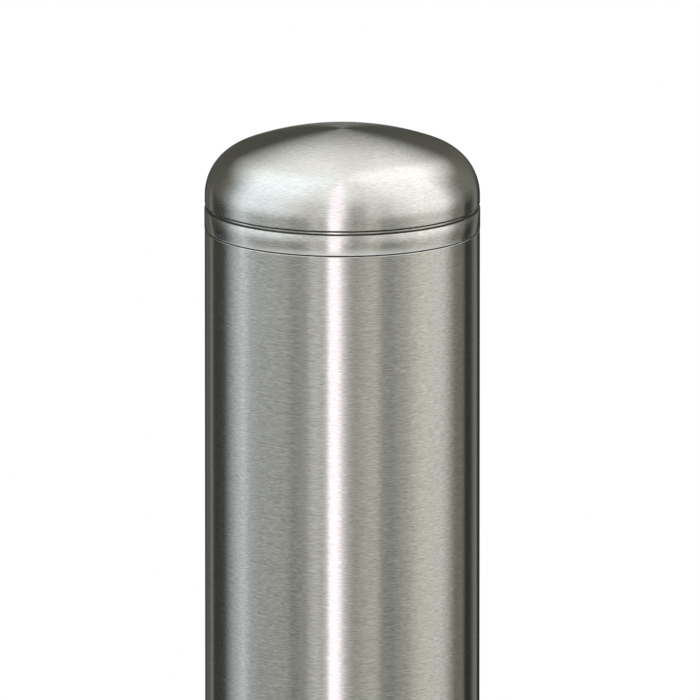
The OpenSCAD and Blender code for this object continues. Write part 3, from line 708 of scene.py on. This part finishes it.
# Soft boxes and flags round the post by compass: degrees from the front, + to the right, brightness, tint.
# LOW stands from the ground up to eye level, MIDDLE from there to the eaves, HIGH hangs overhead.
LOW = [
    (-180, 0.12, PLAIN), (-162, 0.05, PLAIN), (-156, 0.17, PLAIN), (-150, 0.06, PLAIN), (-146, 0.25, OLIVE),
    (-141, 0.22, OLIVE), (-138, 0.04, PLAIN), (-118, 0.04, PLAIN), (-113, 0.19, COOL), (-106, 0.38, COOL),
    (-97, 0.56, COOL), (-92, 0.66, COOL), (-84, 0.34, COOL), (-74, 0.25, PLAIN), (-62, 0.22, OLIVE),
    (-48, 0.20, OLIVE), (-42, 0.06, OLIVE), (-31, 0.21, OLIVE), (-27, 0.46, PLAIN), (-22, 0.58, PLAIN),
    (-17, 0.46, PLAIN), (-13, 0.72, PLAIN), (-11, 1.60, ROSE), (-7, 1.90, ROSE), (-3, 1.60, ROSE),
    (1, 0.74, ROSE), (5, 0.44, PLAIN), (10, 0.33, OLIVE), (20, 0.45, OLIVE), (29, 0.43, OLIVE),
    (34, 0.16, OLIVE), (43, 0.10, OLIVE), (56, 0.26, OLIVE), (64, 0.46, OLIVE), (74, 0.60, OLIVE),
    (92, 0.63, PLAIN), (100, 0.43, OLIVE), (110, 0.15, OLIVE), (122, 0.20, OLIVE), (127, 0.01, PLAIN),
    (138, 0.03, PLAIN), (146, 0.20, PLAIN), (154, 0.25, PLAIN), (158, 0.02, PLAIN), (180, 0.04, PLAIN),
]
MIDDLE = [
    (-180, 0.08, OLIVE), (-134, 0.13, OLIVE), (-122, 0.20, OLIVE), (-112, 0.40, COOL), (-104, 0.82, COOL),
    (-96, 1.15, COOL), (-88, 1.27, COOL), (-58, 1.20, COOL), (-44, 1.04, PLAIN), (-30, 0.82, PLAIN),
    (-18, 0.83, PLAIN), (-13, 0.92, PLAIN), (-10, 1.50, ROSE), (-3, 1.56, ROSE), (2, 1.15, ROSE),
    (6, 0.70, PLAIN), (10, 0.48, PLAIN), (18, 0.60, PLAIN), (24, 0.88, PLAIN), (42, 0.86, PLAIN),
    (46, 1.06, PLAIN), (60, 1.22, PLAIN), (70, 1.42, PLAIN), (96, 1.36, PLAIN), (104, 0.88, PLAIN),
    (112, 0.46, PLAIN), (124, 0.22, OLIVE), (140, 0.22, OLIVE), (180, 0.08, OLIVE),
]
HIGH = [
    (-180, 1.22, PLAIN), (-168, 1.42, PLAIN), (-148, 1.08, PLAIN), (-118, 1.60, COOL), (-90, 1.55, COOL),
    (-50, 1.46, COOL), (-26, 1.25, PLAIN), (-14, 1.38, PLAIN), (-9, 1.62, ROSE), (-3, 1.62, ROSE),
    (5, 1.36, PLAIN), (20, 1.12, PLAIN), (34, 1.20, PLAIN), (62, 1.45, PLAIN), (90, 1.50, PLAIN),
    (118, 1.70, PLAIN), (150, 1.62, PLAIN), (164, 1.42, PLAIN), (172, 1.14, PLAIN), (180, 1.22, PLAIN),
]
EYE_LEVEL = (-10, 0)     # degrees over the horizon where LOW gives way to MIDDLE
EAVES = (22, 48)         # and MIDDLE to HIGH
STOPS = 32               # the most that one colour ramp holds


def studio_world():
    """White backdrop for the camera, and the soft boxes and flags that the metal mirrors."""
    world = bpy.data.worlds.new("studio")
    bpy.context.scene.world = world
    w = Nodes(world)
    split = w.node("ShaderNodeSeparateXYZ")
    w.join(w.node("ShaderNodeTexCoord").outputs["Generated"], split.inputs[0])
    x, y, z = split.outputs
    compass = w.math("ARCTAN2", x, w.math("MULTIPLY", y, -1))
    turn = w.math("ADD", w.math("DIVIDE", compass, math.tau), 0.5)
    height = w.math("ADD", w.math("DIVIDE", w.math("ARCSINE", z), math.pi), 0.5)

    def ring(stops):
        """One ring of boxes, on two ramps where it has too many stops for one."""
        stops = [(degrees / 360 + 0.5, [bright * t for t in tint]) for degrees, bright, tint in stops]
        if len(stops) <= STOPS:
            return w.ramp(turn, stops)
        half = len(stops) // 2
        left, right = w.ramp(turn, stops[:half + 1]), w.ramp(turn, stops[half:])
        return w.mix(w.math("GREATER_THAN", turn, stops[half][0]), left, right)

    def above(low, high):
        """0 below one height and 1 above the other, in degrees over the horizon."""
        return w.ramp(height, [(low / 180 + 0.5, (0, 0, 0)), (high / 180 + 0.5, (1, 1, 1))])

    room = w.mix(above(*EAVES), w.mix(above(*EYE_LEVEL), ring(LOW), ring(MIDDLE)), ring(HIGH))
    light = w.node("ShaderNodeBackground")
    w.join(room, light.inputs["Color"])
    backdrop = w.node("ShaderNodeBackground")
    backdrop.inputs["Color"].default_value = (1, 1, 1, 1)
    choose = w.node("ShaderNodeMixShader")
    w.join(w.node("ShaderNodeLightPath").outputs["Is Camera Ray"], choose.inputs[0])
    w.join(light.outputs[0], choose.inputs[1])
    w.join(backdrop.outputs[0], choose.inputs[2])
    w.join(choose.outputs[0], w.node("ShaderNodeOutputWorld").inputs[0])


studio_world()

FLOOR_R = 3.0
FLOOR_SIDES = 128
FLOOR_DROP = 0.0005      # keeps the floor clear of the base plate


def studio_floor():
    """A plain pale disc that the casing stands on."""
    nothing_selected()
    bpy.ops.mesh.primitive_circle_add(
        vertices=FLOOR_SIDES, radius=FLOOR_R, fill_type="NGON", location=(0, 0, FLOOR_Z - FLOOR_DROP)
    )
    floor = bpy.context.object
    floor.name = "studio_floor"
    s = Shader("studio_floor")
    cloud = s.noise(s.coords(), 3, 4)
    s.set(Roughness=0.7)
    dress(floor, s.finish(s.mix(cloud, (0.86, 0.86, 0.86), (0.9, 0.9, 0.9))))


studio_floor()


LENS, SENSOR = 1500.0, 36.0
VIEW_WIDTH = 2.5445      # width of the view in tube diameters
VIEW_UP = 12.57          # degrees that the camera looks down
AIM_SIDE = 0.0032        # the view's middle: right of the post's axis
AIM_DOWN = 0.052         # and below the seam
CLIP = (0.1, 60)


def studio_camera():
    """A long lens, a little above the cap, framing the top of the raised post."""
    elevation = math.radians(VIEW_UP)
    back = Vector((0, -math.cos(elevation), math.sin(elevation)))
    distance = TUBE_R * 2 * VIEW_WIDTH * LENS / SENSOR
    data = bpy.data.cameras.new("studio_camera")
    data.lens, data.sensor_width = LENS, SENSOR
    data.clip_start, data.clip_end = CLIP
    camera = bpy.data.objects.new("studio_camera", data)
    bpy.context.scene.collection.objects.link(camera)
    camera.location = Vector((AIM_SIDE, 0, SEAM_Z - AIM_DOWN)) + back * distance
    camera.rotation_mode = "QUATERNION"
    camera.rotation_quaternion = (-back).to_track_quat("-Z", "Y")
    bpy.context.scene.camera = camera


studio_camera()
bpy.context.scene.view_settings.view_transform = "Standard"
bpy.context.scene.view_settings.look = "None"
